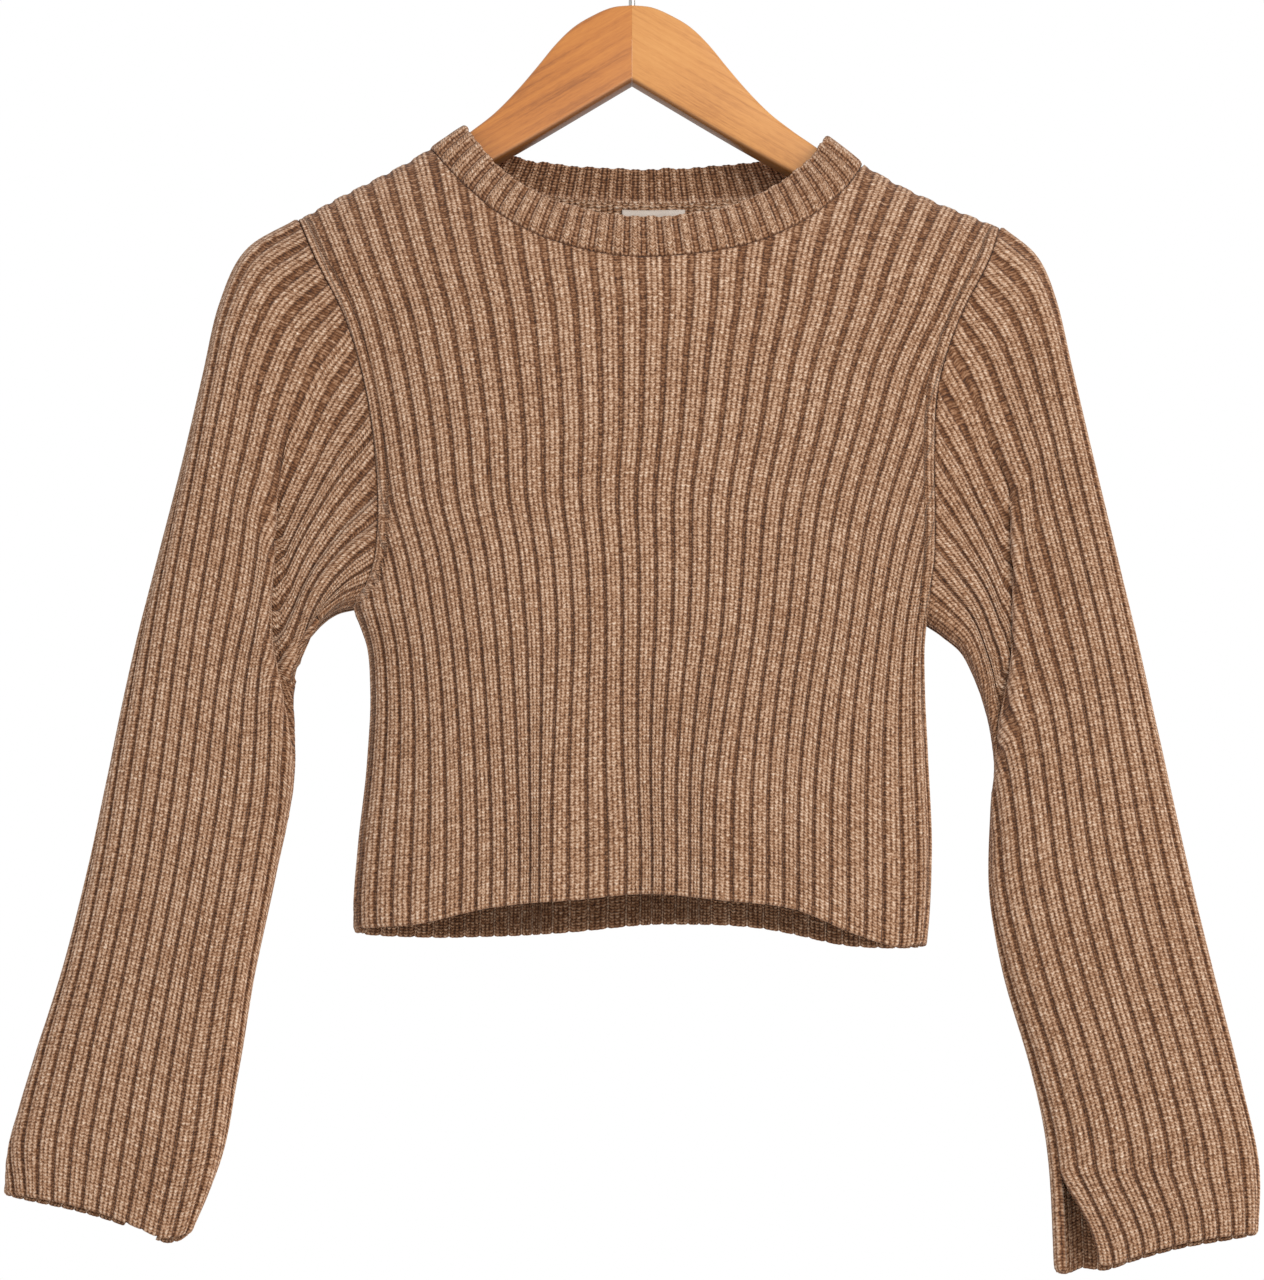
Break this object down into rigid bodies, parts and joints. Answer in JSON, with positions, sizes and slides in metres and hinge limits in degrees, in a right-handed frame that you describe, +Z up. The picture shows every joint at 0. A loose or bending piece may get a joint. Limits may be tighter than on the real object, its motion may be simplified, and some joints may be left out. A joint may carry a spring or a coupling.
{
  "type": "cropped knit sweater on a wooden hanger",
  "caption": "Cropped rib-knit sweater with a round neckband and long flared sleeves with slit cuffs, hanging on a flat wooden hanger with a wire hook.",
  "frame": {"origin": "inside of the crown of the hanger's hook, where the rail carries it", "axes": "+Z up, +X to the viewer's right when facing the front of the sweater, -Y out of the front"},
  "size_m": [0.7018, 0.07, 0.8132],
  "materials": {
    "knit_mocha": "chunky matte melange cotton rib knit",
    "label_grey": "plain woven label, unprinted",
    "hanger_wood": "satin varnish",
    "hook_steel": "polished steel wire"
  },
  "bodies": {
    "root": {"front": "knit_mocha", "back": "knit_mocha", "sleeve_left": "knit_mocha", "sleeve_right": "knit_mocha", "neckband": "knit_mocha", "neck_label": "label_grey", "hanger_arm_left": "hanger_wood", "hanger_arm_right": "hanger_wood", "hanger_hook": "hook_steel"}
  },
  "joints": []
}
